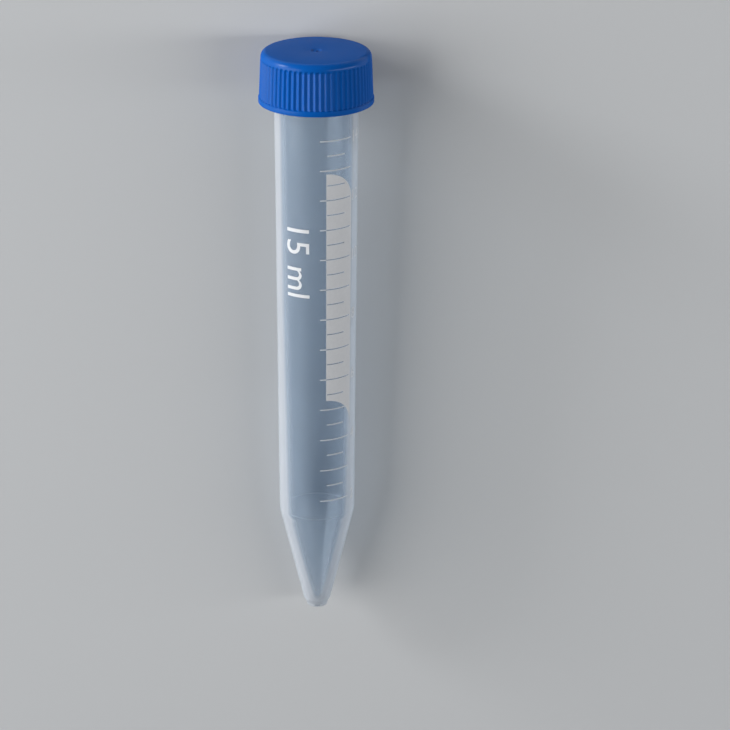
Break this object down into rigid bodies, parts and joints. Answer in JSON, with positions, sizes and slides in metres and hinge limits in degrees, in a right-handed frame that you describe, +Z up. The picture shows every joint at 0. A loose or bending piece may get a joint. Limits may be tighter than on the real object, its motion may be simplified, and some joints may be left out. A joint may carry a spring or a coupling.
{
  "type": "conical centrifuge tube",
  "caption": "Slim translucent plastic lab tube that tapers to a conical end with a small flat foot, with a printed volume scale and a finely ribbed screw cap that comes off.",
  "frame": {"origin": "On the ground under the middle of the part's bounding box, as the closed tube lies on its side", "axes": "+Y runs along the tube towards the cap, +Z is up, and the printed scale faces up. The tube's own axis rises 2.46 degrees towards the cap, because the cap's collar is wider than the tube"},
  "size_m": [0.0229, 0.1204, 0.0229],
  "materials": {
    "natural_polypropylene": "translucent, smooth moulded, with a white printed scale",
    "blue_plastic": "satin moulded blue"
  },
  "bodies": {
    "tube": {"tube": "natural_polypropylene"},
    "cap": {"cap": "blue_plastic"}
  },
  "joints": [
    {"name": "cap_lift", "type": "slide", "parent": "tube", "child": "cap", "axis": [0, 0.9991, 0.0429], "range_m": [0, 0.025]}
  ]
}
